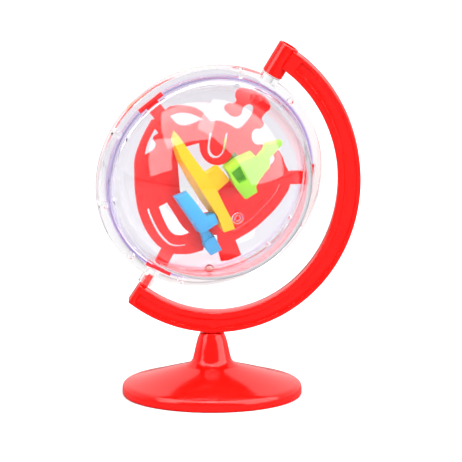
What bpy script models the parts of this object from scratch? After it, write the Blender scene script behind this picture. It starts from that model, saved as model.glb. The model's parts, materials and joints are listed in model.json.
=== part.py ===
"""Desk-globe ball maze: a clear two-part globe with a maze inside turns in a C-shaped arm on a round foot.

The origin is the middle of the foot on the table, +Z is up, and the arm lies in the XZ plane.
The maze frame has X across the maze plate, Y along the globe's spin axis and Z out of the plate's front face.
"""

import math

import bmesh
import bpy

MM = 0.001
GAP = 0.3 * MM  # clearance between pieces that touch
CORNER = "VECTOR"  # marks a sharp point of an outline; the other points are smooth

# Whole toy
GLOBE_CENTRE = (-0.7 * MM, 0.0, 61.4 * MM)
AXIS_TILT = math.radians(31)
SPIN_AT_REST = math.radians(20)

# Clear globe
DOME_INNER = 27.6 * MM
DOME_OUTER = 28.6 * MM
FLANGE_RADIUS = 32.4 * MM
FLANGE_HALF = 1.7 * MM
TOP_BOSS_RADIUS = 2.9 * MM
TOP_PIN_RADIUS = 1.85 * MM
TOP_PIN_END = 41.6 * MM
SOCKET_RADIUS = 2.1 * MM
SOCKET_START = 30.4 * MM
SOCKET_END = 35.1 * MM
PEG_RADIUS = 0.7 * MM
PEG_CIRCLE = 30.6 * MM
PEG_ANGLES = (-20, 0, 74, 106, 182, 221, 254, 286)

# Arm
ARM_CENTRE = (1.55 * MM, -0.58 * MM)  # along X and Z from the globe's centre
ARM_INNER = (33.95 * MM, 37.3 * MM)  # half width and half height of the inner oval
ARM_OUTER = (40.3 * MM, 42.8 * MM)
ARM_WIDTH = 6.5 * MM
ARM_INNER_RIM = 1.9 * MM
ARM_OUTER_RIM = 1.1 * MM
ARM_RECESS = 0.7 * MM
TUBE_RADIUS = 2.95 * MM
TUBE_START = 33.5 * MM
TUBE_END = 42.9 * MM
LOWER_PIN_RADIUS = 1.15 * MM
LOWER_PIN_ROOT = 37.5 * MM
LOWER_PIN_TIP = 32.0 * MM

# Foot
FOOT_RADIUS = 25.0 * MM
FOOT_WALL = 1.5 * MM
NECK_TOP = 17.5 * MM
NECK_RADIUS = 3.5 * MM
STEM_RADIUS = 1.9 * MM
STEM_END = 8.0 * MM
SOCKET_FLOOR = 7.0 * MM

# Maze
PLATE_HALF = 0.55 * MM
STUB_HALF = 1.9 * MM
STUB_END = 28.5 * MM
TAB_HALF = 4.0 * MM
TAB_END = 29.9 * MM
TAB_ANGLES = (26, 158, -88)
BALL_RADIUS = 1.3 * MM
BALL_RUNNING_GAP = 0.15 * MM

COLOURS = {
    "red": ((0.86, 0.02, 0.015), 0.25, 0.0, 1.0),
    "clear": ((0.9, 0.92, 0.95), 0.05, 0.0, 0.25),
    "yellow": ((1.0, 0.72, 0.03), 0.3, 0.0, 1.0),
    "blue": ((0.06, 0.4, 0.78), 0.3, 0.0, 1.0),
    "green": ((0.3, 0.75, 0.06), 0.3, 0.0, 1.0),
    "steel": ((0.7, 0.7, 0.7), 0.15, 1.0, 1.0),
}


# Scene and material helpers


def clear_scene():
    for old in list(bpy.data.objects):
        bpy.data.objects.remove(old, do_unlink=True)


def new_collection(name):
    collection = bpy.data.collections.new(name)
    bpy.context.scene.collection.children.link(collection)
    return collection


def material(name):
    colour, roughness, metallic, alpha = COLOURS[name]
    made = bpy.data.materials.get(name) or bpy.data.materials.new(name)
    made.use_nodes = True
    shader = made.node_tree.nodes["Principled BSDF"]
    shader.inputs["Base Color"].default_value = (*colour, 1.0)
    shader.inputs["Roughness"].default_value = roughness
    shader.inputs["Metallic"].default_value = metallic
    shader.inputs["Alpha"].default_value = alpha
    return made


def place(obj, collection, parent=None, finish=None):
    """Puts an object in its collection, under its parent, with its finish."""
    collection.objects.link(obj)
    obj.parent = parent
    if finish:
        obj.data.materials.append(material(finish))
    return obj


def hide_helper(obj):
    obj.hide_render = True
    obj.display_type = "WIRE"
    return obj


def smooth(mesh):
    mesh.shade_smooth()
    mesh.set_sharp_from_angle(angle=math.radians(35))


def axis_empty(name, collection, location=(0, 0, 0), rotation=(0, 0, 0), parent=None):
    empty = bpy.data.objects.new(name, None)
    empty.location = location
    empty.rotation_euler = rotation
    empty.empty_display_size = 0.01
    return place(empty, collection, parent)


def boolean(obj, other, operation):
    modifier = obj.modifiers.new(f"{operation.lower()} {other.name}", "BOOLEAN")
    modifier.object = other
    modifier.operation = operation
    modifier.solver = "EXACT"


# Shape helpers


def polar(radius, degrees):
    angle = math.radians(degrees)
    return (radius * math.cos(angle), radius * math.sin(angle))


def arc(radius, start, end, steps):
    """Points on a circle round the origin, from start to end in degrees."""
    return [polar(radius, start + (end - start) * i / steps) for i in range(steps + 1)]


def turned(name, profile, steps):
    """A mesh object turned round Z from a profile of (radius, height), its outer side running down."""
    mesh = bpy.data.meshes.new(name)
    edges = [(i, i + 1) for i in range(len(profile) - 1)]
    mesh.from_pydata([(r, 0, z) for r, z in profile], edges, [])
    obj = bpy.data.objects.new(name, mesh)
    screw = obj.modifiers.new("turn", "SCREW")
    screw.axis = "Z"
    screw.steps = screw.render_steps = steps
    screw.use_merge_vertices = True
    screw.merge_threshold = 0.00001
    screw.use_smooth_shade = True
    return obj


def add_spline(curve, points):
    """A closed spline through points of (x, y), smooth except where a point ends in CORNER."""
    spline = curve.splines.new("BEZIER")
    spline.bezier_points.add(len(points) - 1)
    for knot, point in zip(spline.bezier_points, points):
        kind = CORNER if point[-1] == CORNER else "AUTO"
        knot.co = (point[0], point[1], 0)
        knot.handle_left_type = knot.handle_right_type = kind
    spline.use_cyclic_u = True


def flat_piece(name, outlines, low, high, resolution=4):
    """A mesh object with the first outline's shape and the others as holes, between two heights on Z."""
    curve = bpy.data.curves.new(name, "CURVE")
    curve.dimensions = "2D"
    curve.fill_mode = "BOTH"
    curve.resolution_u = resolution
    curve.extrude = (high - low) / 2
    for outline in outlines:
        add_spline(curve, outline)
    guide = bpy.data.objects.new(f"{name} guide", curve)
    bpy.context.scene.collection.objects.link(guide)
    bpy.context.view_layer.update()
    graph = bpy.context.evaluated_depsgraph_get()
    mesh = bpy.data.meshes.new_from_object(guide.evaluated_get(graph))
    bpy.data.objects.remove(guide, do_unlink=True)
    work = bmesh.new()
    work.from_mesh(mesh)
    bmesh.ops.remove_doubles(work, verts=work.verts, dist=0.001 * MM)
    bmesh.ops.translate(work, verts=work.verts, vec=(0, 0, (low + high) / 2))
    bmesh.ops.recalc_face_normals(work, faces=work.faces)
    work.to_mesh(mesh)
    work.free()
    smooth(mesh)
    mesh.name = name
    return bpy.data.objects.new(name, mesh)


def lofted(name, low_outline, high_outline, low, high):
    """A mesh object between two outlines with matching points, given in millimetres, at two heights on Z."""
    work = bmesh.new()
    rings = []
    for outline, height in ((low_outline, low), (high_outline, high)):
        rings.append([work.verts.new((x * MM, y * MM, height)) for x, y in outline])
        work.faces.new(rings[-1])
    count = len(low_outline)
    for i in range(count):
        k = (i + 1) % count
        work.faces.new((rings[0][i], rings[0][k], rings[1][k], rings[1][i]))
    bmesh.ops.recalc_face_normals(work, faces=work.faces)
    bmesh.ops.triangulate(work, faces=[face for face in work.faces if len(face.verts) > 4])
    mesh = bpy.data.meshes.new(name)
    work.to_mesh(mesh)
    work.free()
    return bpy.data.objects.new(name, mesh)


def corners(points):
    """Sharp outline points, given in millimetres."""
    return [(x * MM, y * MM, CORNER) for x, y in points]


def smooth_mm(points):
    """Outline points given in millimetres: smooth ones as (x, y), sharp ones as (x, y, CORNER)."""
    return [(point[0] * MM, point[1] * MM, *point[2:]) for point in points]


def arm_point(half_size, degrees):
    """Where a ray from the globe's centre crosses an oval of the arm."""
    x, y = polar(1, degrees)
    centre_x, centre_y = ARM_CENTRE
    wide, high = half_size
    a = (x / wide) ** 2 + (y / high) ** 2
    b = x * centre_x / wide**2 + y * centre_y / high**2
    c = (centre_x / wide) ** 2 + (centre_y / high) ** 2 - 1
    reach = (b + math.sqrt(b * b - a * c)) / a
    return (reach * x, reach * y, CORNER)


def arm_band(start, end, inner_rim=0.0, outer_rim=0.0, steps=40):
    """The outline of the arm between two angles, or of its channel inside the rims."""
    inner = [size + inner_rim for size in ARM_INNER]
    outer = [size - outer_rim for size in ARM_OUTER]
    angles = [start + (end - start) * i / steps for i in range(steps + 1)]
    outer_edge = [arm_point(outer, angle) for angle in angles]
    inner_edge = [arm_point(inner, angle) for angle in reversed(angles)]
    return outer_edge + inner_edge


def disc(radius, sides=24, centre=(0, 0)):
    ring = arc(radius, 0, 360, sides)[:-1]
    return [(centre[0] + x, centre[1] + y, CORNER) for x, y in ring]


def half_disc(radius, side, steps=12):
    """A half round outline on one side of the parting plane, clear of it by half a gap."""
    start = math.degrees(math.asin(GAP / 2 / radius))
    points = arc(radius, start, 180 - start, steps)
    return [(x, side * y, CORNER) for x, y in points]


def strip(path, width, steps=5):
    """The outline of a slot of one width, with pointed ends, along a smooth path in millimetres."""
    dense = []
    last = len(path) - 1
    for i in range(last):
        before, start, end, after = path[max(i - 1, 0)], path[i], path[i + 1], path[min(i + 2, last)]
        for k in range(steps):
            t = k / steps
            dense.append([catmull(*values, t) for values in zip(before, start, end, after)])
    dense.append(list(path[-1]))
    left, right = [], []
    for i in range(1, len(dense) - 1):
        (x, y), (x0, y0), (x1, y1) = dense[i], dense[i - 1], dense[i + 1]
        run = math.hypot(x1 - x0, y1 - y0)
        side_x, side_y = -(y1 - y0) / run * width / 2, (x1 - x0) / run * width / 2
        left.append((x + side_x, y + side_y))
        right.append((x - side_x, y - side_y))
    return corners([dense[0], *left, dense[-1], *reversed(right)])


def catmull(before, start, end, after, t):
    """One coordinate of a smooth curve between start and end."""
    slope_0, slope_1 = (end - before) / 2, (after - start) / 2
    step = end - start
    return start + t * (slope_0 + t * (3 * step - 2 * slope_0 - slope_1 + t * (slope_0 + slope_1 - 2 * step)))


# Pieces


def make_foot(collection):
    """Hollow round foot, with a tapered neck and a socket post that stands on the table."""
    neck = [
        (STEM_RADIUS + GAP, SOCKET_FLOOR),
        (STEM_RADIUS + GAP, NECK_TOP),
        (NECK_RADIUS - 0.5 * MM, NECK_TOP),
        (NECK_RADIUS, NECK_TOP - 0.4 * MM),
        (4.0 * MM, 15.8 * MM),
        (4.6 * MM, 13.4 * MM),
        (5.2 * MM, 10.9 * MM),
        (5.5 * MM, 9.8 * MM),
        (6.2 * MM, 8.9 * MM),
    ]
    cap = [
        (8.0 * MM, 8.0 * MM),
        (10.5 * MM, 7.3 * MM),
        (14.5 * MM, 6.2 * MM),
        (18.5 * MM, 4.95 * MM),
        (23.6 * MM, 3.45 * MM),
        (24.6 * MM, 2.85 * MM),
        (FOOT_RADIUS, 2.0 * MM),
        (FOOT_RADIUS, 0.6 * MM),
        (FOOT_RADIUS - 0.5 * MM, 0.0),
    ]
    underside = [
        (FOOT_RADIUS - FOOT_WALL, 0.0),
        (FOOT_RADIUS - FOOT_WALL, 1.2 * MM),
        (22.4 * MM, 2.4 * MM),
        (15.0 * MM, 4.8 * MM),
        (4.4 * MM, 7.4 * MM),
        (4.0 * MM, 0.0),
        (0.0, 0.0),
    ]
    foot = turned("pedestal_foot", [(0.0, SOCKET_FLOOR), *neck, *cap, *underside], 48)
    return place(foot, collection, finish="red")


def make_arm(collection, helpers, globe_axis, swivel):
    """C-shaped arm with a channel down each side, the top bearing tube, the lower pivot pin and the stem."""
    axis_angle = 90 - math.degrees(AXIS_TILT)
    start, end = axis_angle - 182.0, axis_angle - 2.2
    arm = flat_piece("globe_arm", [arm_band(start, end)], -ARM_WIDTH / 2, ARM_WIDTH / 2)
    place(arm, collection, swivel, "red")
    arm.location = GLOBE_CENTRE
    arm.rotation_euler = (math.pi / 2, 0, 0)

    channel = arm_band(start + 2.5, end - 5, ARM_INNER_RIM, ARM_OUTER_RIM)
    for side in (-1, 1):
        floor, past = side * (ARM_WIDTH / 2 - ARM_RECESS), side * ARM_WIDTH
        cutter = flat_piece(f"channel cutter {side}", [channel], min(floor, past), max(floor, past))
        hide_helper(place(cutter, helpers, arm))
        boolean(arm, cutter, "DIFFERENCE")

    tube = flat_piece("tube body", [disc(TUBE_RADIUS)], TUBE_START, TUBE_END)
    bore = flat_piece("tube bore", [disc(TOP_PIN_RADIUS + GAP, 20)], TUBE_START - 1 * MM, TUBE_END + 1 * MM)
    pin = flat_piece("lower pin", [disc(LOWER_PIN_RADIUS, 16)], -LOWER_PIN_ROOT, -LOWER_PIN_TIP)
    stem_top = GLOBE_CENTRE[2] + ARM_CENTRE[1] - ARM_OUTER[1] + 0.8 * MM
    collar = flat_piece("stem collar", [disc(NECK_RADIUS - 0.7 * MM)], NECK_TOP + GAP, stem_top)
    stem = flat_piece("stem", [disc(STEM_RADIUS, 16)], STEM_END, NECK_TOP + 1 * MM)
    for body, parent, operation in (
        (tube, globe_axis, "UNION"),
        (pin, globe_axis, "UNION"),
        (collar, swivel, "UNION"),
        (stem, swivel, "UNION"),
        (bore, globe_axis, "DIFFERENCE"),
    ):
        hide_helper(place(body, helpers, parent))
        boolean(arm, body, operation)
    return arm


def dome_profile(side):
    """Half a section of the front (1) or back (-1) dome and flange, from the pole's outside to its inside."""
    foot_angle = 5.5
    outer = arc(DOME_OUTER, 90, foot_angle, 11)
    outer[0] = (0.0, DOME_OUTER)
    rim = 0.35 * MM
    flange = [
        (DOME_OUTER + 0.35 * MM, FLANGE_HALF + 0.3 * MM),
        (DOME_OUTER + 1.0 * MM, FLANGE_HALF),
        (FLANGE_RADIUS - rim, FLANGE_HALF),
        (FLANGE_RADIUS, FLANGE_HALF - rim),
        (FLANGE_RADIUS, GAP / 2),
        (DOME_INNER, GAP / 2),
    ]
    inner = arc(DOME_INNER, 6, 90, 11)
    inner[-1] = (0.0, DOME_INNER)
    profile = [(r, side * z) for r, z in outer + flange + inner]
    return profile if side > 0 else profile[::-1]


def tab_outline(angle, grow=0.0):
    """The T shape of a plate tab, from its stub's root to its head, for a plate or grown for its pocket."""
    reach = [
        (24.0 * MM, STUB_HALF + grow),
        (STUB_END - grow, STUB_HALF + grow),
        (STUB_END - grow, TAB_HALF + grow),
        (TAB_END + grow, TAB_HALF + grow),
    ]
    cos, sin = polar(1, angle)
    right = [(r * cos + w * sin, r * sin - w * cos, CORNER) for r, w in reach]
    left = [(r * cos - w * sin, r * sin + w * cos, CORNER) for r, w in reversed(reach)]
    return right + left


def make_dome(name, side, collection, helpers, maze_frame, globe_axis):
    """One clear half: dome and flange, half of each pivot, and pockets for the plate's tabs."""
    dome = place(turned(name, dome_profile(side), 48), collection, maze_frame, "clear")
    half = "front" if side > 0 else "back"
    solids = (
        (f"{half} top boss", half_disc(TOP_BOSS_RADIUS, -side), FLANGE_RADIUS - 1.4 * MM, TUBE_START - GAP),
        (f"{half} top pin", half_disc(TOP_PIN_RADIUS, -side), FLANGE_RADIUS - 0.7 * MM, TOP_PIN_END),
        (f"{half} socket", half_disc(SOCKET_RADIUS, -side), -SOCKET_END, -SOCKET_START),
    )
    for label, outline, low, high in solids:
        body = flat_piece(label, [outline], low, high)
        hide_helper(place(body, helpers, globe_axis))
        boolean(dome, body, "UNION")
    bore_outline = [disc(LOWER_PIN_RADIUS + GAP, 16)]
    bore = flat_piece(f"{half} socket bore", bore_outline, -SOCKET_END - 1 * MM, -LOWER_PIN_TIP + GAP)
    hide_helper(place(bore, helpers, globe_axis))
    boolean(dome, bore, "DIFFERENCE")
    for angle in TAB_ANGLES:
        depth = PLATE_HALF + GAP
        pocket = flat_piece(f"{half} pocket {angle}", [tab_outline(angle, GAP)], -depth, depth)
        hide_helper(place(pocket, helpers, maze_frame))
        boolean(dome, pocket, "DIFFERENCE")
    for angle in PEG_ANGLES:
        centre = polar(PEG_CIRCLE, angle)
        if side > 0:
            peg = flat_piece(f"peg hole {angle}", [disc(PEG_RADIUS + GAP, 12, centre)], 0.0, 1.25 * MM)
            boolean(dome, peg, "DIFFERENCE")
        else:
            peg = flat_piece(f"peg {angle}", [disc(PEG_RADIUS, 12, centre)], -0.8 * MM, 0.9 * MM)
            boolean(dome, peg, "UNION")
        hide_helper(place(peg, helpers, maze_frame))
    return dome


def plate_outline():
    """The plate's outer edge, anticlockwise from the right-hand tab."""
    right_tab, left_tab, low_tab = (tab_outline(angle) for angle in TAB_ANGLES)
    upper_right = smooth_mm([
        (20.2, 11.6, CORNER), (17.6, 13.2), (15.2, 15.0), (13.2, 15.6), (12.7, 14.4), (14.4, 12.8),
        (13.6, 10.6), (12.0, 12.2), (11.0, 14.8), (9.2, 15.0), (6.8, 14.2), (4.4, 15.6), (4.1, 17.8),
        (5.5, 18.8), (5.7, 20.2), (4.2, 21.3), (4.2, 23.0), (4.7, 25.0), (3.0, 26.5), (-0.4, 27.0),
        (-4.2, 26.5), (-6.3, 25.0), (-5.8, 23.0), (-5.0, 22.4), (-5.1, 21.4), (-6.7, 20.5),
        (-7.0, 19.0), (-5.4, 18.2), (-3.2, 18.2), (-2.0, 19.4), (-2.2, 22.2), (-0.7, 23.3),
        (0.7, 22.4), (0.9, 18.0), (0.0, 15.8), (-2.8, 15.6), (-5.8, 15.3), (-8.3, 14.0, CORNER),
        (-13.2, 15.3), (-18.0, 14.2), (-21.0, 12.2, CORNER),
    ])
    left = smooth_mm([
        (-23.6, 6.6, CORNER), (-23.5, 3.0), (-22.9, -1.6), (-21.9, -5.2), (-19.4, -9.4), (-16.2, -14.0),
        (-11.6, -18.9), (-6.2, -22.5), (-2.6, -23.9, CORNER),
    ])
    lower_right = smooth_mm([
        (3.6, -23.7, CORNER), (7.0, -21.9), (9.9, -19.3, CORNER), (9.4, -17.0), (8.4, -14.9, CORNER),
        (11.2, -13.5, CORNER), (14.5, -17.8, CORNER), (16.7, -19.9, CORNER), (19.0, -18.2),
        (21.0, -15.6, CORNER), (16.9, -12.5, CORNER), (19.6, -8.0), (21.3, -3.6), (22.7, 2.4),
        (22.9, 7.0, CORNER),
    ])
    return right_tab + upper_right + left_tab + left + low_tab + lower_right


def plate_openings():
    """Windows and ball slots through the maze plate."""
    middle = smooth_mm([
        (-11.2, 4.4, CORNER), (-11.3, 0.4, CORNER), (-5.8, -7.0, CORNER), (-0.8, -10.8), (3.0, -10.4),
        (6.3, -8.4, CORNER), (4.2, -1.9, CORNER), (5.6, 2.0, CORNER), (6.7, 4.2), (6.4, 6.6, CORNER),
        (4.9, 6.9, CORNER), (5.0, 7.9, CORNER), (5.7, 7.9, CORNER), (4.3, 9.0, CORNER), (2.0, 9.7, CORNER),
        (2.2, 7.0), (1.2, 4.9), (-0.9, 3.7), (-3.4, 3.6), (-5.8, 4.7), (-7.4, 6.4), (-8.1, 7.3, CORNER),
    ])
    lens = smooth_mm([
        (-19.9, 10.0, CORNER), (-18.1, 11.9), (-15.2, 13.2), (-10.5, 13.6, CORNER), (-15.2, 9.2),
    ])
    upper_gap = smooth_mm([
        (-21.7, 5.0, CORNER), (-19.9, 4.3, CORNER), (-20.5, 2.4), (-19.0, 1.3), (-18.6, 0.0),
        (-20.2, -3.1, CORNER), (-21.4, 0.8),
    ])
    lower_window = smooth_mm([
        (-8.6, -13.9, CORNER), (-7.2, -11.7, CORNER), (-3.4, -13.7), (1.2, -16.0), (3.9, -16.6, CORNER),
        (1.8, -18.5), (-0.6, -18.9), (-4.6, -16.9),
    ])
    left_slot = strip([
        (-11.2, -15.6), (-8.0, -18.2), (-3.8, -20.7), (0.0, -21.9), (2.6, -21.4), (4.7, -20.0),
    ], 0.6)
    right_slot = strip([(19.6, 7.6), (19.9, 4.0), (18.7, -2.0), (17.2, -6.4), (14.4, -11.3)], 0.5)
    hook_slot = strip([
        (-6.8, 11.4), (-5.0, 7.4), (-3.6, 5.9), (-2.1, 5.6), (-0.9, 6.3), (-0.5, 7.9), (-1.1, 9.9),
        (-2.6, 13.4),
    ], 0.8)
    return [middle, lens, upper_gap, lower_window, left_slot, right_slot, hook_slot]


def make_plate(collection, maze_frame):
    plate = flat_piece("maze_plate", [plate_outline(), *plate_openings()], -PLATE_HALF, PLATE_HALF, 3)
    return place(plate, collection, maze_frame, "red")


def joined(name, bodies, collection, helpers, maze_frame, finish):
    """One piece from a first flat body and the bodies joined to it or cut from it, as (operation, body)."""
    (_, first), *others = bodies
    first.name = first.data.name = name
    place(first, collection, maze_frame, finish)
    for operation, body in others:
        hide_helper(place(body, helpers, maze_frame))
        boolean(first, body, operation)
    return first


def make_rail(collection, helpers, maze_frame):
    """Tall yellow rail across the middle opening, with a sloping left side and a foot on its right."""
    base = PLATE_HALF + GAP
    right = [(11.5, -8.4), (8.7, -6.2), (4.8, -3.8), (0.5, -1.0), (-4.5, 1.5), (-11.1, 4.3), (-17.1, 7.2)]
    top = [(-17.3, 4.8), (-13.5, 2.1), (-6.8, -1.3), (-0.2, -4.7), (5.0, -7.4), (9.2, -10.7)] + right
    root = [(-16.3, 4.4), (-11.8, 0.3), (-5.8, -3.4), (0.7, -6.8), (5.4, -9.0), (9.2, -10.9)] + right
    foot = corners([(-3.4, 0.4), (-2.4, 1.2), (-1.0, 3.7), (0.0, 4.1), (3.9, 2.6), (4.2, 2.1), (2.8, -1.8)])
    return joined("yellow_rail", [
        ("", lofted("rail wall", root, top, base, 7.4 * MM)),
        ("UNION", flat_piece("rail foot", [foot], base, 3.4 * MM)),
    ], collection, helpers, maze_frame, "yellow")


def make_blue(collection, helpers, maze_frame):
    """Blue bracket beside the rail: a raised bar with a side stub, a leg, a neck and a square foot."""
    base = PLATE_HALF + GAP
    back_end = [(-4.9, -6.0), (-6.1, -5.6), (-7.0, -6.8)]
    top = [
        (-8.3, -8.2), (-0.2, -12.0), (3.4, -13.9), (4.7, -12.6), (5.3, -11.3), (6.5, -9.1), (4.0, -7.3),
        (2.4, -9.0), (0.6, -8.3), *back_end,
    ]
    low = [
        (-8.6, -8.7), (-0.5, -12.6), (3.1, -14.5), (5.0, -12.9), (5.4, -11.4), (5.9, -9.3), (3.5, -7.8),
        (2.3, -9.1), (0.6, -8.4), *back_end,
    ]
    leg = corners([(-1.5, -10.6), (4.4, -13.4), (5.0, -12.2), (-0.9, -9.6)])
    neck = corners([
        (3.6, -13.6), (4.9, -12.2), (6.2, -12.8), (8.2, -13.6), (9.4, -15.2), (7.6, -16.6), (5.2, -14.6),
    ])
    foot = corners([(7.2, -16.3), (8.0, -14.3), (8.9, -13.5), (12.8, -15.9), (10.9, -18.8), (8.6, -17.9)])
    return joined("blue_bracket", [
        ("", lofted("blue bar", low, top, 4.4 * MM, 7.0 * MM)),
        ("UNION", flat_piece("blue leg", [leg], base, 5.0 * MM)),
        ("UNION", flat_piece("blue neck", [neck], base, 4.0 * MM)),
        ("UNION", flat_piece("blue foot", [foot], base, 4.6 * MM)),
    ], collection, helpers, maze_frame, "blue")


def make_green(collection, helpers, maze_frame):
    """Green bracket that straddles the plate, with a pocket and a raised bar in front and an arm behind."""
    base = PLATE_HALF + GAP
    block = corners([
        (1.4, 4.7), (5.9, 1.7), (9.9, 0.1), (10.6, 0.4), (12.2, 3.4), (11.0, 4.5), (10.8, 6.4), (11.1, 8.6),
        (5.9, 12.0), (4.8, 10.6), (2.9, 8.2),
    ])
    bar = corners([
        (6.4, 7.5), (10.3, 6.0), (11.4, 11.0), (10.0, 13.6), (10.6, 16.4), (11.0, 18.3), (10.5, 19.2),
        (6.8, 16.1), (7.4, 14.6), (7.0, 12.4),
    ])
    pocket = corners([(2.4, 4.8), (3.5, 7.6), (7.5, 5.1), (6.4, 3.0)])
    link = corners([(2.9, 3.6), (5.4, 3.4), (6.0, 4.6), (5.8, 6.2), (3.0, 6.2)])
    arm = corners([(2.9, 4.2), (5.6, 3.4), (7.3, 6.9), (3.8, 9.2), (0.5, 11.8), (-1.0, 10.6), (1.0, 8.0)])
    return joined("green_bracket", [
        ("", flat_piece("green block", [block], base, 5.9 * MM)),
        ("UNION", flat_piece("green bar", [bar], 3.9 * MM, 6.0 * MM)),
        ("DIFFERENCE", flat_piece("green pocket", [pocket], 2.4 * MM, 7.0 * MM)),
        ("UNION", flat_piece("green link", [link], -2.6 * MM, 1.8 * MM)),
        ("UNION", flat_piece("green arm", [arm], -3.6 * MM, -base)),
    ], collection, helpers, maze_frame, "green")


def make_ball(collection, globe_axis):
    """Steel ball, resting at the lowest point inside the front dome."""
    mesh = bpy.data.meshes.new("steel_ball")
    work = bmesh.new()
    bmesh.ops.create_icosphere(work, subdivisions=2, radius=BALL_RADIUS)
    work.to_mesh(mesh)
    work.free()
    smooth(mesh)
    ball = place(bpy.data.objects.new("steel_ball", mesh), collection, globe_axis, "steel")
    bpy.context.view_layer.update()
    reach = DOME_INNER - BALL_RADIUS - BALL_RUNNING_GAP
    down = globe_axis.matrix_world.to_3x3().inverted() @ type(ball.location)((0, 0, -1))
    ball.location = down * reach
    return ball


def main():
    clear_scene()
    toy = new_collection("maze globe")
    helpers = new_collection("cutters")
    swivel = axis_empty("arm_swivel_axis", toy)
    tilt = axis_empty("globe_tilt", toy, GLOBE_CENTRE, (0, AXIS_TILT, 0), swivel)
    globe_axis = axis_empty("globe_spin_axis", toy, rotation=(0, 0, SPIN_AT_REST), parent=tilt)
    maze_frame = axis_empty("maze_frame", toy, rotation=(math.pi / 2, 0, 0), parent=globe_axis)
    make_foot(toy)
    make_arm(toy, helpers, globe_axis, swivel)
    make_dome("front_dome", 1, toy, helpers, maze_frame, globe_axis)
    make_dome("back_dome", -1, toy, helpers, maze_frame, globe_axis)
    make_plate(toy, maze_frame)
    make_rail(toy, helpers, maze_frame)
    make_blue(toy, helpers, maze_frame)
    make_green(toy, helpers, maze_frame)
    make_ball(toy, globe_axis)


main()
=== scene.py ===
"""Desk-globe ball maze: a clear two-part globe with a maze inside turns in a red arm on a round foot.

Lengths are in metres and +Z is up. The maze frame has X across the maze plate, Y along the globe's spin axis
and Z out of the plate's front face. The spin frame has Z along the spin axis.
"""

import json
import math

import bmesh
import bpy
from bpy.props import FloatProperty, FloatVectorProperty, IntProperty, PointerProperty
from mathutils import Matrix, Vector


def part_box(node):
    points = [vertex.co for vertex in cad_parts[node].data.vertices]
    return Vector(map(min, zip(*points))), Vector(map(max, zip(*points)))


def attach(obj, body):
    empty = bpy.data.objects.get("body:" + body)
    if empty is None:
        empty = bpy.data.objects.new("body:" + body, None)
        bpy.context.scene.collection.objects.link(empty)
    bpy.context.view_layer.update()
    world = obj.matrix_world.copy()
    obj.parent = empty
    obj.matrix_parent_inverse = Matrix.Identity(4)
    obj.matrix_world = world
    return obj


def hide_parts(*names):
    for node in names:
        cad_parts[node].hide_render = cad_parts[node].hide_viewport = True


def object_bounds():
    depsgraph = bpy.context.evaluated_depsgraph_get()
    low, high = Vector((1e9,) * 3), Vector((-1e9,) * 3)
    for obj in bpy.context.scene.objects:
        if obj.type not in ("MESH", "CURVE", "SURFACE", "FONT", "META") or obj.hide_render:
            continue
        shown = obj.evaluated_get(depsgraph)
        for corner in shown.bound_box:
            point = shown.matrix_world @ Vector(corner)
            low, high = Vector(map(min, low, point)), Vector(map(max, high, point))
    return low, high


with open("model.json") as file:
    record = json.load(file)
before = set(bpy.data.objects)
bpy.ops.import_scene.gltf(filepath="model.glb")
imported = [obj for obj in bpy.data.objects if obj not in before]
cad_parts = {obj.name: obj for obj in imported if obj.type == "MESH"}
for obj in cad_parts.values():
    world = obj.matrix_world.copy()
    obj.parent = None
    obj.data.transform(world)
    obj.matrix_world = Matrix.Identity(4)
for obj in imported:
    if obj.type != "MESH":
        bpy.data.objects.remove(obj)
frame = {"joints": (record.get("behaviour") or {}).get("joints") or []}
cad_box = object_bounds()

bl_info = {
    "name": "Maze Globe",
    "version": (1, 0, 0),
    "blender": (4, 5, 0),
    "location": "3D View > Sidebar > Maze Globe",
    "description": "Builds a desk-globe ball maze: foot, arm, clear shells, maze pieces and steel ball",
    "category": "Add Mesh",
}

MM = 0.001
FIT = 0.3 * MM  # clearance between pieces that touch
SHARP = "VECTOR"  # marks a sharp point of an outline; the other points are smooth
SHARP_EDGE = math.radians(35)  # steeper edges than this stay sharp in the shading
ROUNDED_EDGE = math.radians(40)  # steeper edges than this are rounded
ROUNDING_SEGMENTS = 2
WELD = 0.001 * MM  # points closer than this become one
ON_AXIS = 1e-7  # radii smaller than this count as a point on the axis

# The globe's place, from its spin joint
spin_joint = next(joint for joint in frame["joints"] if joint["name"] == "globe_spin")
GLOBE_CENTRE = Vector(spin_joint["pos_m"])
AXIS_TILT = math.atan2(spin_joint["axis"][0], spin_joint["axis"][2])
AXIS_ANGLE = 90 - math.degrees(AXIS_TILT)
SPIN_AT_REST = math.radians(20)
GLOBE_PLACE = Matrix.Translation(GLOBE_CENTRE)
SPIN_FRAME = GLOBE_PLACE @ Matrix.Rotation(AXIS_TILT, 4, "Y") @ Matrix.Rotation(SPIN_AT_REST, 4, "Z")
MAZE_FRAME = SPIN_FRAME @ Matrix.Rotation(math.pi / 2, 4, "X")
ARM_FRAME = GLOBE_PLACE @ Matrix.Rotation(math.pi / 2, 4, "X")

# Stand
ARM_CENTRE = (1.55 * MM, -0.58 * MM)  # along X and Z from the globe's centre
ARM_INNER = (33.95 * MM, 37.3 * MM)  # half width and half height of the inner oval
ARM_OUTER = (40.3 * MM, 42.8 * MM)
ARM_ENDS = (AXIS_ANGLE - 182.0, AXIS_ANGLE - 2.2)  # degrees round the globe's centre
CHANNEL_ENDS = (ARM_ENDS[0] + 2.5, ARM_ENDS[1] - 5.0)
CHANNEL_STEPS = 132
TUBE_SPAN = (33.5 * MM, 42.9 * MM)
TUBE_RADIUS = 2.95 * MM
PIN_SPAN = (32.0 * MM, 37.5 * MM)
PIN_RADIUS = 1.15 * MM
STEM_RADIUS = 1.9 * MM
STEM_END = 8.0 * MM
COLLAR_RADIUS = 2.8 * MM
COLLAR_SINK = 0.8 * MM  # how far the stem's collar reaches into the arm
CHAMFER = 0.25 * MM  # on the ends of the tube, the pin and the stem
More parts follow.
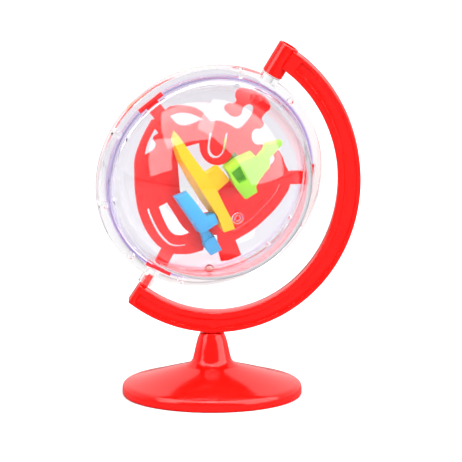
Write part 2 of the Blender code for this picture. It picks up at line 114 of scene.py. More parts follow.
EJECTOR_ANGLES = (47, -4, -35, -88)
EJECTOR_RADIUS = 1.3 * MM
EJECTOR_DEPTH = 0.06 * MM
NECK_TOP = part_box("pedestal_foot")[1].z
FOOT_STEPS = 144
TUBE_STEPS = 64
PIN_STEPS = 40
STEM_STEPS = 48

# Clear shells
SHELL_SPLIT = FIT / 2
SHELL_ARC_STEPS = 44
TRUNNION_RADIUS = 1.85 * MM
TRUNNION_END = 41.6 * MM
BOSS_RADIUS = 2.9 * MM
SOCKET_RADIUS = 2.1 * MM
SOCKET_SPAN = (30.4 * MM, 35.1 * MM)
PEG_RADIUS = 0.7 * MM
PEG_CIRCLE = 30.6 * MM
PEG_ANGLES = (-20, 0, 74, 106, 182, 221, 254, 286)
GATE_RINGS = (1.55 * MM, 0.8 * MM)
GATE_RING_PLACE = (0.014, -0.059)  # sideways and along the spin axis, as shares of the shell's radius
GATE_RING_SECTION = 0.2 * MM

# Maze plate
PLATE_HALF = 0.55 * MM
STUB_HALF = 1.9 * MM
STUB_END = 28.5 * MM
TAB_HALF = 4.0 * MM
TAB_END = 29.9 * MM
TAB_ANGLES = (26, 158, -88)
PLATE_ROUNDING = 0.12 * MM
PIECE_BASE = PLATE_HALF + FIT

# Finishes
STAND_GLOSS = (0.12, 0.45)  # roughness and strength of the gloss
MAZE_GLOSS = (0.3, 0.2)
CLEAR_IOR = 1.5
PAINTED_FRINGE_BAND = (-0.05 * MM, 0.15 * MM, 0.8 * MM, 1.4 * MM)  # where the painted lilac fringe of refracted light fades in and out, past the dome
OPEN_AIR = (0.97, 0.965, 0.98)  # tint of the light that passes straight through
TRAPPED_BOUNCES = 5  # light that has bounced more often than this passes straight through

# Studio
FLOOR_HALF = 6.0
PANEL_DISTANCE = 1.6
CAMERA_AIM = (5.29 * MM, 0.0, 46.15 * MM)
FRAME_WIDTH = 128.15 * MM
CAMERA_REACH = 30.0
PANELS = (  # name, direction from the globe, direction of one side, size to a metre of distance
    ("panel_right", (0.63, -0.292, 0.72), (0.648, -0.18, -0.74), (2.15, 1.15)),
    ("panel_top", (-0.337, -0.18, 0.924), (0.93, -0.217, 0.297), (0.95, 0.95)),
    ("panel_left", (-0.811, -0.402, 0.425), (0.0, 0.474, 0.88), (0.62, 0.5)),
)


# Settings


class MazeGlobeStandSettings(bpy.types.PropertyGroup):
    """Sizes and colour of the foot and the arm."""

    colour: FloatVectorProperty(
        name="Stand colour", description="Colour of the foot and the arm", subtype="COLOR", size=3,
        min=0.0, max=1.0, default=(0.92, 0.005, 0.003),
    )
    foot_radius: FloatProperty(
        name="Foot radius", description="Radius of the round foot", unit="LENGTH",
        min=0.01, default=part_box("pedestal_foot")[1].x,
    )
    arm_width: FloatProperty(
        name="Arm width", description="Width of the arm from side to side", unit="LENGTH",
        min=0.002, default=6.5 * MM,
    )
    inner_rim: FloatProperty(
        name="Inner rim", description="Width of the rim along the arm's inner edge", unit="LENGTH",
        min=0.0005, default=1.9 * MM,
    )
    outer_rim: FloatProperty(
        name="Outer rim", description="Width of the rim along the arm's outer edge", unit="LENGTH",
        min=0.0005, default=1.1 * MM,
    )
    recess: FloatProperty(
        name="Channel depth", description="Depth of the channel down each side of the arm", unit="LENGTH",
        min=0.0001, default=0.7 * MM,
    )


class MazeGlobeShellSettings(bpy.types.PropertyGroup):
    """Sizes and tint of the two clear shells, with the painted lilac fringe of refracted light round the
    dome's mouth.
    """

    tint: FloatVectorProperty(
        name="Shell tint", description="Tint of the clear plastic", subtype="COLOR", size=3,
        min=0.0, max=1.0, default=(0.994, 0.988, 0.994),
    )
    # Painted light: the lilac fringe that refraction makes round the dome's mouth, painted into the plastic's
    # colour
    painted_fringe_tint: FloatVectorProperty(
        name="Edge tint", description="Tint of the clear plastic round the dome's mouth", subtype="COLOR",
        size=3, min=0.0, max=1.0, default=(0.66, 0.58, 0.86),
    )
    inner_radius: FloatProperty(
        name="Inner radius", description="Inside radius of the globe", unit="LENGTH",
        min=0.01, default=27.6 * MM,
    )
    outer_radius: FloatProperty(
        name="Outer radius", description="Outside radius of the globe", unit="LENGTH",
        min=0.01, default=28.6 * MM,
    )
    flange_radius: FloatProperty(
        name="Flange radius", description="Radius of the ring where the shells meet", unit="LENGTH",
        min=0.01, default=32.4 * MM,
    )
    flange_half: FloatProperty(
        name="Flange thickness", description="Thickness of each shell's flange", unit="LENGTH",
        min=0.0005, default=1.7 * MM,
    )
    steps: IntProperty(
        name="Shell steps", description="Faces round each shell", min=24, max=512, default=160,
    )


class MazeGlobeMazeSettings(bpy.types.PropertyGroup):
    """Colours and edge rounding of the maze pieces."""

    plate_colour: FloatVectorProperty(
        name="Plate colour", description="Colour of the maze plate", subtype="COLOR", size=3,
        min=0.0, max=1.0, default=(0.95, 0.006, 0.005),
    )
    rail_colour: FloatVectorProperty(
        name="Rail colour", description="Colour of the long rail", subtype="COLOR", size=3,
        min=0.0, max=1.0, default=(1.0, 0.54, 0.006),
    )
    blue_colour: FloatVectorProperty(
        name="Blue colour", description="Colour of the blue bracket", subtype="COLOR", size=3,
        min=0.0, max=1.0, default=(0.052, 0.39, 0.72),
    )
    green_colour: FloatVectorProperty(
        name="Green colour", description="Colour of the green bracket", subtype="COLOR", size=3,
        min=0.0, max=1.0, default=(0.32, 0.75, 0.04),
    )
    edge_round: FloatProperty(
        name="Edge rounding", description="Radius of the rounded edges of the maze pieces", unit="LENGTH",
        min=0.00001, default=0.15 * MM,
    )


class MazeGlobeBallSettings(bpy.types.PropertyGroup):
    """Size and colour of the steel ball."""

    radius: FloatProperty(
        name="Ball radius", description="Radius of the steel ball", unit="LENGTH",
        min=0.0005, default=1.3 * MM,
    )
    colour: FloatVectorProperty(
        name="Ball colour", description="Colour of the polished steel", subtype="COLOR", size=3,
        min=0.0, max=1.0, default=(0.4, 0.34, 0.31),
    )


class MazeGlobeStudioSettings(bpy.types.PropertyGroup):
    """Floor, lights and camera."""

    floor_colour: FloatVectorProperty(
        name="Floor colour", description="Colour of the studio floor", subtype="COLOR", size=3,
        min=0.0, max=1.0, default=(0.88, 0.88, 0.88),
    )
    panel_glow: FloatProperty(
        name="Panel brightness", description="Brightness of each light panel's face", min=0.0, default=3.4,
    )
    elevation: FloatProperty(
        name="Camera elevation", description="Angle the camera looks down by", subtype="ANGLE",
        default=math.radians(10.8),
    )
    lens: FloatProperty(
        name="Lens", description="Focal length in millimetres", min=10.0, default=400.0,
    )


# Outline helpers


def polar(radius, degrees):
    angle = math.radians(degrees)
    return (radius * math.cos(angle), radius * math.sin(angle))


def arc(radius, start, end, steps, centre=(0.0, 0.0)):
    """Points on a circle from start to end in degrees."""
    turns = [polar(radius, start + (end - start) * i / steps) for i in range(steps + 1)]
    return [(centre[0] + x, centre[1] + y) for x, y in turns]


def sharp(points):
    """Outline points that are all corners."""
    return [(x, y, SHARP) for x, y in points]


def in_mm(points):
    """Outline points given in millimetres: smooth ones as (x, y), corners as (x, y, SHARP)."""
    return [(point[0] * MM, point[1] * MM, *point[2:]) for point in points]


def disc(radius, sides=48, centre=(0.0, 0.0)):
    return sharp(arc(radius, 0, 360, sides, centre)[:-1])


def half_disc(radius, side, steps=24):
    """A half round on one side of the parting plane, clear of it by half the fit."""
    start = math.degrees(math.asin(SHELL_SPLIT / radius))
    return sharp((x, side * y) for x, y in arc(radius, start, 180 - start, steps))


def curve_through(points, steps):
    """A dense smooth line through points, as far as the first and last."""
    line = []
    last = len(points) - 1
    for i in range(last):
        around = (points[max(i - 1, 0)], points[i], points[i + 1], points[min(i + 2, last)])
        line += [tuple(eased(*values, k / steps) for values in zip(*around)) for k in range(steps)]
    return [*line, tuple(points[-1])]


def eased(before, start, end, after, t):
    """One coordinate of a smooth curve between start and end."""
    slope_0, slope_1 = (end - before) / 2, (after - start) / 2
    step = end - start
    return start + t * (slope_0 + t * (3 * step - 2 * slope_0 - slope_1 + t * (slope_0 + slope_1 - 2 * step)))


def strip(path, width):
    """The outline of a slot of one width, with pointed ends, along a smooth path in millimetres."""
    line = curve_through(path, 6)
    left, right = [], []
    for before, here, after in zip(line, line[1:], line[2:]):
        run = math.dist(before, after)
        side = (-(after[1] - before[1]) / run * width / 2, (after[0] - before[0]) / run * width / 2)
        left.append((here[0] + side[0], here[1] + side[1]))
        right.append((here[0] - side[0], here[1] - side[1]))
    return sharp((x * MM, y * MM) for x, y in [line[0], *left, line[-1], *reversed(right)])


# Mesh helpers


def mesh_piece(name, work, matrix):
    """A linked mesh object from a bmesh, with its vertices placed by a matrix."""
    bmesh.ops.transform(work, matrix=matrix, verts=work.verts)
    bmesh.ops.recalc_face_normals(work, faces=work.faces)
    mesh = bpy.data.meshes.new(name)
    work.to_mesh(mesh)
    work.free()
    obj = bpy.data.objects.new(name, mesh)
    bpy.context.scene.collection.objects.link(obj)
    return obj


def turned(name, profile, steps, matrix=Matrix(), closed=False):
    """A piece turned round Z from a profile of (radius, height)."""
    work = bmesh.new()
    rings = []
    for radius, height in profile:
        if radius < ON_AXIS:
            rings.append([work.verts.new((0, 0, height))] * steps)
        else:
            spokes = [polar(radius, 360 * i / steps) for i in range(steps)]
            rings.append([work.verts.new((x, y, height)) for x, y in spokes])
    pairs = list(zip(rings, rings[1:]))
    if closed:
        pairs.append((rings[-1], rings[0]))
    for low, high in pairs:
        for i in range(steps):
            k = (i + 1) % steps
            corners = dict.fromkeys((low[i], low[k], high[k], high[i]))
            if len(corners) > 2:
                work.faces.new(corners)
    return mesh_piece(name, work, matrix)


def flat_piece(name, outlines, low, high, matrix, edge=0.0, resolution=8):
    """The first outline's shape with the others as holes, between two heights, with rounded edges."""
    curve = bpy.data.curves.new(name, "CURVE")
    curve.dimensions = "2D"
    curve.fill_mode = "BOTH"
    curve.resolution_u = resolution
    curve.extrude = (high - low) / 2 - edge
    curve.bevel_depth = edge
    curve.bevel_resolution = 2
    curve.offset = -edge
    for outline in outlines:
        spline = curve.splines.new("BEZIER")
        spline.bezier_points.add(len(outline) - 1)
        for knot, point in zip(spline.bezier_points, outline):
            knot.co = (point[0], point[1], 0)
            kind = SHARP if point[-1] == SHARP else "AUTO"
            knot.handle_left_type = knot.handle_right_type = kind
        spline.use_cyclic_u = True
    guide = bpy.data.objects.new(name + "_guide", curve)
    bpy.context.scene.collection.objects.link(guide)
    work = bmesh.new()
    mesh = evaluated_mesh(guide)
    work.from_mesh(mesh)
    bpy.data.meshes.remove(mesh)
    bpy.data.objects.remove(guide, do_unlink=True)
    bmesh.ops.remove_doubles(work, verts=work.verts, dist=WELD)
    bmesh.ops.translate(work, verts=work.verts, vec=(0, 0, (low + high) / 2))
    return mesh_piece(name, work, matrix)


def skinned(name, outlines, matrix):
    """A solid through outlines of (x, y, z) with matching points, closed at the first and the last."""
    work = bmesh.new()
    rings = [[work.verts.new(point) for point in outline] for outline in outlines]
    for low, high in zip(rings, rings[1:]):
        for i in range(len(low)):
            k = (i + 1) % len(low)
            work.faces.new((low[i], low[k], high[k], high[i]))
    work.faces.new(rings[0])
    work.faces.new(reversed(rings[-1]))
    return mesh_piece(name, work, matrix)


def maze_wall(name, low_outline, high_outline, low, high):
    """A wall in the maze frame between two outlines given in millimetres, at two heights."""
    levels = ((low_outline, low), (high_outline, high))
    return skinned(name, [[(x * MM, y * MM, z) for x, y in outline] for outline, z in levels], MAZE_FRAME)


def maze_block(name, points, low, high):
    """A straight-sided block in the maze frame, from corners given in millimetres."""
    return flat_piece(name, [sharp(in_mm(points))], low, high, MAZE_FRAME)


def evaluated_mesh(obj):
    """A copy of an object's mesh with its modifiers applied."""
    bpy.context.view_layer.update()
    graph = bpy.context.evaluated_depsgraph_get()
    return bpy.data.meshes.new_from_object(obj.evaluated_get(graph))


def apply_modifiers(obj):
    mesh = evaluated_mesh(obj)
    old = obj.data
    obj.modifiers.clear()
    obj.data = mesh
    bpy.data.meshes.remove(old)


def combine(obj, operation, others):
    """Joins bodies to a piece or cuts them from it, one at a time, and removes them."""
    for other in others:
        modifier = obj.modifiers.new(operation, "BOOLEAN")
        modifier.operation = operation
        modifier.object = other
        modifier.solver = "EXACT"
        apply_modifiers(obj)
        bpy.data.objects.remove(other, do_unlink=True)


def round_edges(obj, radius):
    """Rounds every sharp edge of a piece."""
    modifier = obj.modifiers.new("rounding", "BEVEL")
    modifier.width = radius
    modifier.segments = ROUNDING_SEGMENTS
    modifier.limit_method = "ANGLE"
    modifier.angle_limit = ROUNDED_EDGE
    apply_modifiers(obj)


def finish_piece(obj, body, nodes, material):
    """Gives a finished piece its smooth shading, finish and body, and hides the CAD parts it stands for."""
    if not obj.data.polygons:
        raise RuntimeError(f"{obj.name} came out with no faces")
    obj.data.name = obj.name
    obj.data.materials.clear()
    obj.data.materials.append(material)
    obj.data.shade_smooth()
    obj.data.set_sharp_from_angle(angle=SHARP_EDGE)
    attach(obj, body)
    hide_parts(*nodes)


# Material helpers


# The colour sockets of the mix node, which share their names with its number sockets
MIX_COLOUR_A, MIX_COLOUR_B, MIX_COLOUR_RESULT = 6, 7, 2


class Recipe:
    """The node tree of a new material or world, with short ways to add nodes."""

    def __init__(self, owner, shader, place):
        owner.use_nodes = True
        self.owner = owner
        self.tree = owner.node_tree
        self.shader = self.tree.nodes[shader]
        self.place = self.add("ShaderNodeTexCoord").outputs[place]

    @classmethod
    def material(cls, name):
        return cls(bpy.data.materials.new(name), "Principled BSDF", "Object")

    def add(self, kind, **settings):
        node = self.tree.nodes.new(kind)
        for key, value in settings.items():
            setattr(node, key, value)
        return node

    def link(self, start, end):
        self.tree.links.new(start, end)

    def noise(self, scale, detail=3.0, roughness=0.5):
        """A noise pattern with so many features to a metre."""
        node = self.add("ShaderNodeTexNoise")
        node.inputs["Scale"].default_value = scale
        node.inputs["Detail"].default_value = detail
        node.inputs["Roughness"].default_value = roughness
        self.link(self.place, node.inputs["Vector"])
        return node.outputs["Fac"]

    def spread(self, value, low, high, start=0.3, end=0.7):
        """A pattern's values spread between two others."""
        node = self.add("ShaderNodeMapRange")
        node.inputs["From Min"].default_value = start
        node.inputs["From Max"].default_value = end
        node.inputs["To Min"].default_value = low
        node.inputs["To Max"].default_value = high
        self.link(value, node.inputs["Value"])
        return node.outputs["Result"]

    def blend(self, factor, low, high):
        """A number between two others, each a constant or a pattern."""
        node = self.add("ShaderNodeMix")
        self.link(factor, node.inputs["Factor"])
        for socket, value in (("A", low), ("B", high)):
            if isinstance(value, float):
                node.inputs[socket].default_value = value
            else:
                self.link(value, node.inputs[socket])
        return node.outputs["Result"]

    def combined(self, operation, first, second):
        """The product, or the larger, of two patterns."""
        node = self.add("ShaderNodeMath", operation=operation)
        self.link(first, node.inputs[0])
        self.link(second, node.inputs[1])
        return node.outputs[0]

    def above(self, value, limit):
        """One where a value is above a limit, nought elsewhere."""
        node = self.add("ShaderNodeMath", operation="GREATER_THAN")
        self.link(value, node.inputs[0])
        node.inputs[1].default_value = limit
        return node.outputs[0]

    def trapped(self, light):
        """One for light that has bounced about inside the clear plastic, nought for the rest."""
        return self.above(light.outputs["Ray Depth"], TRAPPED_BOUNCES)

    def by_ray(self, *, seen, through, mirrored, scattered, trapped):
        """A number for light that is seen directly, through plastic or in a gloss, scattered or trapped."""
        light = self.add("ShaderNodeLightPath")
        value = self.blend(light.outputs["Is Glossy Ray"], scattered, mirrored)
        value = self.blend(self.above(light.outputs["Transmission Depth"], 0.5), value, through)
        value = self.blend(self.trapped(light), value, trapped)
        return self.blend(light.outputs["Is Camera Ray"], value, seen)

    def mixed(self, factor, first, second):
        """A colour between two, by a factor from a pattern."""
        node = self.add("ShaderNodeMix", data_type="RGBA")
        self.link(factor, node.inputs["Factor"])
        node.inputs[MIX_COLOUR_A].default_value = (*first, 1.0)
        node.inputs[MIX_COLOUR_B].default_value = (*second, 1.0)
        return node.outputs[MIX_COLOUR_RESULT]

    def bump(self, height, distance, below=None):
        node = self.add("ShaderNodeBump")
        node.inputs["Strength"].default_value = 1.0
        node.inputs["Distance"].default_value = distance
        self.link(height, node.inputs["Height"])
        if below is not None:
            self.link(below, node.inputs["Normal"])
        return node.outputs["Normal"]


def scaled(colour, share):
    return tuple(min(channel * share, 1.0) for channel in colour)


def moulded_plastic(name, colour, roughness, gloss_level):
    """Glossy moulded plastic: slightly uneven colour, flow marks in the gloss, sink marks and a fine skin."""
    recipe = Recipe.material(name)
    shader = recipe.shader
    cloud = recipe.spread(recipe.noise(140, 2), 0.0, 1.0)
    recipe.link(recipe.mixed(cloud, scaled(colour, 0.93), scaled(colour, 1.05)), shader.inputs["Base Color"])
    gloss = recipe.spread(recipe.noise(420, 5, 0.6), roughness * 0.8, roughness * 1.3)
    recipe.link(gloss, shader.inputs["Roughness"])
    sinks = recipe.bump(recipe.noise(160, 1), 0.03 * MM)
    skin = recipe.bump(recipe.noise(5200, 2), 0.0012 * MM, sinks)
    recipe.link(skin, shader.inputs["Normal"])
    shader.inputs["Specular IOR Level"].default_value = gloss_level
    return recipe.owner


def clear_plastic(name, tint, painted_fringe_tint, mouth_radius):
    """Clear plastic that lets lamplight straight through, with a painted lilac fringe of refracted light
    round the dome's mouth.
    """
    recipe = Recipe.material(name)
    shader = recipe.shader
    apart = recipe.add("ShaderNodeVectorMath", operation="DISTANCE")
    recipe.link(recipe.place, apart.inputs[0])
    apart.inputs[1].default_value = GLOBE_CENTRE
    edges = [mouth_radius + past for past in PAINTED_FRINGE_BAND]
    fade_in = recipe.spread(apart.outputs["Value"], 0.0, 1.0, *edges[:2])
    fade_out = recipe.spread(apart.outputs["Value"], 1.0, 0.0, *edges[2:])
    # The painted lilac fringe of refracted light: a ring of colour just past the dome's outer radius
    painted_fringe = recipe.combined("MULTIPLY", fade_in, fade_out)
    recipe.link(recipe.mixed(painted_fringe, tint, painted_fringe_tint), shader.inputs["Base Color"])
    recipe.link(recipe.spread(recipe.noise(260, 4), 0.0, 0.035), shader.inputs["Roughness"])
    recipe.link(recipe.bump(recipe.noise(190, 1), 0.006 * MM), shader.inputs["Normal"])
    shader.inputs["Transmission Weight"].default_value = 1.0
    shader.inputs["IOR"].default_value = CLEAR_IOR

    light = recipe.add("ShaderNodeLightPath")
    stray = recipe.combined("MAXIMUM", light.outputs["Is Shadow Ray"], light.outputs["Is Diffuse Ray"])
    passed = recipe.combined("MAXIMUM", stray, recipe.trapped(light))
    open_air = recipe.add("ShaderNodeBsdfTransparent")
    open_air.inputs["Color"].default_value = (*OPEN_AIR, 1.0)
    mix = recipe.add("ShaderNodeMixShader")
    recipe.link(passed, mix.inputs[0])
    recipe.link(shader.outputs["BSDF"], mix.inputs[1])
    recipe.link(open_air.outputs["BSDF"], mix.inputs[2])
    recipe.link(mix.outputs["Shader"], recipe.tree.nodes["Material Output"].inputs["Surface"])
    return recipe.owner


def polished_steel(name, colour):
    """Polished steel with hairline scratches."""
    recipe = Recipe.material(name)
    shader = recipe.shader
    recipe.link(recipe.mixed(recipe.noise(900), scaled(colour, 0.9), colour), shader.inputs["Base Color"])
    recipe.link(recipe.spread(recipe.noise(6000, 6, 0.7), 0.06, 0.2), shader.inputs["Roughness"])
    recipe.link(recipe.bump(recipe.noise(9000, 4), 0.0006 * MM), shader.inputs["Normal"])
    shader.inputs["Metallic"].default_value = 1.0
    return recipe.owner


def studio_floor(name, colour):
    """Pale matt floor, bright where it is seen and dimmer in the gloss of the toy."""
    recipe = Recipe.material(name)
    shader = recipe.shader
    share = recipe.add("ShaderNodeVectorMath", operation="SCALE")
    recipe.link(recipe.mixed(recipe.noise(7), scaled(colour, 0.985), colour), share.inputs[0])
    light = recipe.by_ray(seen=1.0, through=0.47, mirrored=0.17, scattered=0.5, trapped=0.45)
    recipe.link(light, share.inputs["Scale"])
    recipe.link(share.outputs[0], shader.inputs["Base Color"])
    shader.inputs["Roughness"].default_value = 1.0
    shader.inputs["Specular IOR Level"].default_value = 0.0
    recipe.link(recipe.bump(recipe.noise(60), 0.05 * MM), shader.inputs["Normal"])
    return recipe.owner


def shared_material(name, make, *values):
    """The material of that name, made the first time it is asked for."""
    return bpy.data.materials.get(name) or make(name, *values)


# Shapes of the pieces


def arm_reach(half_size, degrees):
    """How far from the globe's centre a ray crosses an oval of the arm."""
    x, y = polar(1, degrees)
    centre_x, centre_y = ARM_CENTRE
    wide, high = half_size
    a = (x / wide) ** 2 + (y / high) ** 2
    b = x * centre_x / wide**2 + y * centre_y / high**2
    c = (centre_x / wide) ** 2 + (centre_y / high) ** 2 - 1
    return (b + math.sqrt(b * b - a * c)) / a


def arm_section(stand):
    """One side of the arm's section: (from the outer oval, distance from it, depth, in the channel)."""
    corner, lip, slope = 0.35 * MM, 0.25 * MM, 0.05 * MM
    floor = stand.recess
    turns = [math.radians(turn) for turn in (0, 30, 60, 90)]
    rounding = [(corner - corner * math.cos(turn), corner - corner * math.sin(turn), False) for turn in turns]
    edge = [
        (-lip, 0.0, False), (-0.3 * lip, 0.3 * lip, True), (0.0, lip, True), (slope, floor - lip, True),
        (0.3 * lip + slope, floor - 0.3 * lip, True), (lip + slope, floor, True),
    ]
    inner, outer = (
        [*rounding, *((rim + past, depth, in_channel) for past, depth, in_channel in edge)]
        for rim in (stand.inner_rim, stand.outer_rim)
    )
    return [(False, *point) for point in inner] + [(True, *point) for point in reversed(outer)]


def arm_stations():
    """Places along the arm: (angle, how far the section is drawn in, how deep the channel is)."""
    start, end = ARM_ENDS
    channel_start, channel_end = CHANNEL_ENDS
    corner = 0.3 * MM
    middle = sum(ARM_INNER) / 2
    stations = []
    for turn in map(math.radians, (0, 30, 60)):
        step = math.degrees(corner * (1 - math.cos(turn)) / middle)
        stations.append((start + step, corner * (1 - math.sin(turn)), 0.0))
    level, rising, full = 0.4, 0.1, 0.3  # degrees from the channel's end to each of its first sections
    stations += [
        (start + 0.7, 0.0, 0.0), (channel_start - level, 0.0, 0.0), (channel_start - rising, 0.0, 0.3),
    ]
    length = channel_end - channel_start - 2 * full
    turns = [channel_start + full + length * i / CHANNEL_STEPS for i in range(CHANNEL_STEPS + 1)]
    stations += [(turn, 0.0, 1.0) for turn in turns]
    return [*stations, (channel_end + rising, 0.0, 0.3), (channel_end + level, 0.0, 0.0), (end, 0.0, 0.0)]


def make_arm_body(name, stand):
    """The C-shaped arm: a rounded bar that follows two ovals, with a channel down each side."""
    half = arm_section(stand)
    loop = [(1, *point) for point in half] + [(-1, *point) for point in reversed(half)]
    outlines = []
    for angle, drawn_in, channel in arm_stations():
        outline = []
        inner, outer = arm_reach(ARM_INNER, angle), arm_reach(ARM_OUTER, angle)
        for side, from_outer, distance, depth, in_channel in loop:
            sunk = depth * channel if in_channel else depth
            near_edge = drawn_in if distance < stand.outer_rim / 2 else 0.0
            reach = outer - distance - near_edge if from_outer else inner + distance + near_edge
            outline.append((*polar(reach, angle), side * (stand.arm_width / 2 - sunk - drawn_in)))
        outlines.append(outline)
    return skinned(name, outlines, ARM_FRAME)


def foot_profile(foot_radius):
    """Half of the foot's section, from its socket, over the outside, to the middle of its post."""
    edge = foot_radius / MM
    socket = [(0.0, 7.0), (2.2, 7.0), (2.2, 17.3), (2.4, 17.5)]
    top = arc(0.4, 90, 10, 4, (3.1, 17.1))
    neck = curve_through([
        (3.55, 16.95), (3.98, 15.9), (4.28, 14.8), (4.61, 13.4), (4.91, 12.0), (5.17, 10.9), (5.45, 9.9),
        (6.1, 9.05), (7.3, 8.3),
    ], 4)
    cap = curve_through([(7.3, 8.3), (10.5, 7.35), (14.5, 6.2), (18.5, 5.0), (21.6, 4.1), (23.2, 3.65)], 4)
    shoulder = curve_through([(23.2, 3.65), (24.2, 3.3), (edge - 0.25, 2.8), (edge, 2.0), (edge, 0.75)], 4)
    rim = arc(0.6, 0, -80, 4, (edge - 0.6, 0.62))
    hollow = curve_through([(22.6, 2.0), (21.0, 2.7), (18.0, 3.7), (13.0, 5.1), (8.0, 6.3), (4.7, 6.9)], 3)
    underside = [(edge - 1.3, 0.0), (edge - 1.5, 0.15), (edge - 1.5, 1.2), *hollow]
    post = [(4.2, 6.8), (4.05, 6.4), (4.0, 0.15), (3.85, 0.0), (0.0, 0.0)]
    return in_mm([*socket, *top, *neck, *cap[1:], *shoulder[1:], *rim, *underside, *post])


def shell_profile(shell, side):
    """Half of the front (1) or back (-1) shell's section, from the pole's outside to its inside."""
    inner, outer = shell.inner_radius, shell.outer_radius
    flange, half = shell.flange_radius, shell.flange_half
    rim, chamfer = 0.3 * MM, 0.1 * MM
    dome_foot = 5.5  # degrees above the parting plane
    dome = [(0.0, outer), *arc(outer, 90, dome_foot, SHELL_ARC_STEPS)[1:]]
    fillet = [
        (outer + 0.08 * MM, half + 0.55 * MM), (outer + 0.3 * MM, half + 0.22 * MM), (outer + 0.7 * MM, half),
    ]
    edge = arc(rim, 90, 0, 4, (flange - rim, half - rim))
    mating = [(flange, SHELL_SPLIT), (inner + chamfer, SHELL_SPLIT), (inner, SHELL_SPLIT + chamfer)]
    inside = [*arc(inner, 2, 90, SHELL_ARC_STEPS)[:-1], (0.0, inner)]
    return [(r, side * z) for r, z in dome + fillet + edge + mating + inside]


def tab_outline(angle, grow=0.0):
    """The T shape of a plate tab, from its stub's root to its head, for a plate or grown for its pocket."""
    reach = [
        (24.0 * MM, STUB_HALF + grow),
        (STUB_END - grow, STUB_HALF + grow),
        (STUB_END - grow, TAB_HALF + grow),
        (TAB_END + grow, TAB_HALF + grow),
    ]
    cos, sin = polar(1, angle)
    right = [(r * cos + w * sin, r * sin - w * cos) for r, w in reach]
    left = [(r * cos - w * sin, r * sin + w * cos) for r, w in reversed(reach)]
    return sharp(right + left)


def plate_outline():
    """The plate's outer edge, anticlockwise from the right-hand tab."""
    right_tab, left_tab, low_tab = (tab_outline(angle) for angle in TAB_ANGLES)
    upper_right = in_mm([
        (20.2, 11.6, SHARP), (17.6, 13.2), (15.2, 15.0), (13.2, 15.6), (12.7, 14.4), (14.4, 12.8),
        (13.6, 10.6), (12.0, 12.2), (11.0, 14.8), (9.2, 15.0), (6.8, 14.2), (4.4, 15.6), (4.1, 17.8),
        (5.5, 18.8), (5.7, 20.2), (4.2, 21.3), (4.2, 23.0), (4.7, 25.0), (3.0, 26.5), (-0.4, 27.0),
        (-4.2, 26.5), (-6.3, 25.0), (-5.8, 23.0), (-5.0, 22.4), (-5.1, 21.4), (-6.7, 20.5),
        (-7.0, 19.0), (-5.4, 18.2), (-3.2, 18.2), (-2.0, 19.4), (-2.2, 22.2), (-0.7, 23.3),
        (0.7, 22.4), (0.9, 18.0), (0.0, 15.8), (-2.8, 15.6), (-5.8, 15.3), (-8.3, 14.0, SHARP),
        (-13.2, 15.3), (-18.0, 14.2), (-21.0, 12.2, SHARP),
    ])
    left = in_mm([
        (-23.6, 6.6, SHARP), (-23.5, 3.0), (-22.9, -1.6), (-21.9, -5.2), (-19.4, -9.4), (-16.2, -14.0),
        (-11.6, -18.9), (-6.2, -22.5), (-2.6, -23.9, SHARP),
    ])
    lower_right = in_mm([
        (3.6, -23.7, SHARP), (7.0, -21.9), (9.9, -19.3, SHARP), (9.4, -17.0), (8.4, -14.9, SHARP),
        (11.2, -13.5, SHARP), (14.5, -17.8, SHARP), (16.7, -19.9, SHARP), (19.0, -18.2),
        (21.0, -15.6, SHARP), (16.9, -12.5, SHARP), (19.6, -8.0), (21.3, -3.6), (22.7, 2.4),
        (22.9, 7.0, SHARP),
    ])
    return right_tab + upper_right + left_tab + left + low_tab + lower_right


def plate_openings():
    """Windows and ball slots through the maze plate."""
    middle = in_mm([
        (-11.2, 4.4, SHARP), (-11.3, 0.4, SHARP), (-5.8, -7.0, SHARP), (-0.8, -10.8), (3.0, -10.4),
        (6.3, -8.4, SHARP), (4.2, -1.9, SHARP), (5.6, 2.0, SHARP), (6.7, 4.2), (6.4, 6.6, SHARP),
        (4.9, 6.9, SHARP), (5.0, 7.9, SHARP), (5.7, 7.9, SHARP), (4.3, 9.0, SHARP), (2.0, 9.7, SHARP),
        (2.2, 7.0), (1.2, 4.9), (-0.9, 3.7), (-3.4, 3.6), (-5.8, 4.7), (-7.4, 6.4), (-8.1, 7.3, SHARP),
    ])
    lens = in_mm([(-19.9, 10.0, SHARP), (-18.1, 11.9), (-15.2, 13.2), (-10.5, 13.6, SHARP), (-15.2, 9.2)])
    upper_gap = in_mm([
        (-21.7, 5.0, SHARP), (-19.9, 4.3, SHARP), (-20.5, 2.4), (-19.0, 1.3), (-18.6, 0.0),
        (-20.2, -3.1, SHARP), (-21.4, 0.8),
    ])
    lower_window = in_mm([
        (-8.6, -13.9, SHARP), (-7.2, -11.7, SHARP), (-3.4, -13.7), (1.2, -16.0), (3.9, -16.6, SHARP),
        (1.8, -18.5), (-0.6, -18.9), (-4.6, -16.9),
    ])
    left_slot = strip([
        (-11.2, -15.6), (-8.0, -18.2), (-3.8, -20.7), (0.0, -21.9), (2.6, -21.4), (4.7, -20.0),
    ], 0.6)
    right_slot = strip([(19.6, 7.6), (19.9, 4.0), (18.7, -2.0), (17.2, -6.4), (14.4, -11.3)], 0.5)
    hook_slot = strip([
        (-6.8, 11.4), (-5.0, 7.4), (-3.6, 5.9), (-2.1, 5.6), (-0.9, 6.3), (-0.5, 7.9), (-1.1, 9.9),
        (-2.6, 13.4),
    ], 0.8)
    return [middle, lens, upper_gap, lower_window, left_slot, right_slot, hook_slot]


# Operators


class MAZEGLOBE_OT_foot(bpy.types.Operator):
    """Builds the hollow round foot with its neck and socket post."""

    bl_idname = "mazeglobe.foot"
    bl_label = "Foot"

    def execute(self, context):
        stand = context.scene.maze_globe_stand
        foot = turned("foot", foot_profile(stand.foot_radius), FOOT_STEPS)
        red = shared_material("stand red", moulded_plastic, stand.colour, *STAND_GLOSS)
        finish_piece(foot, "foot", ["pedestal_foot"], red)
        return {"FINISHED"}


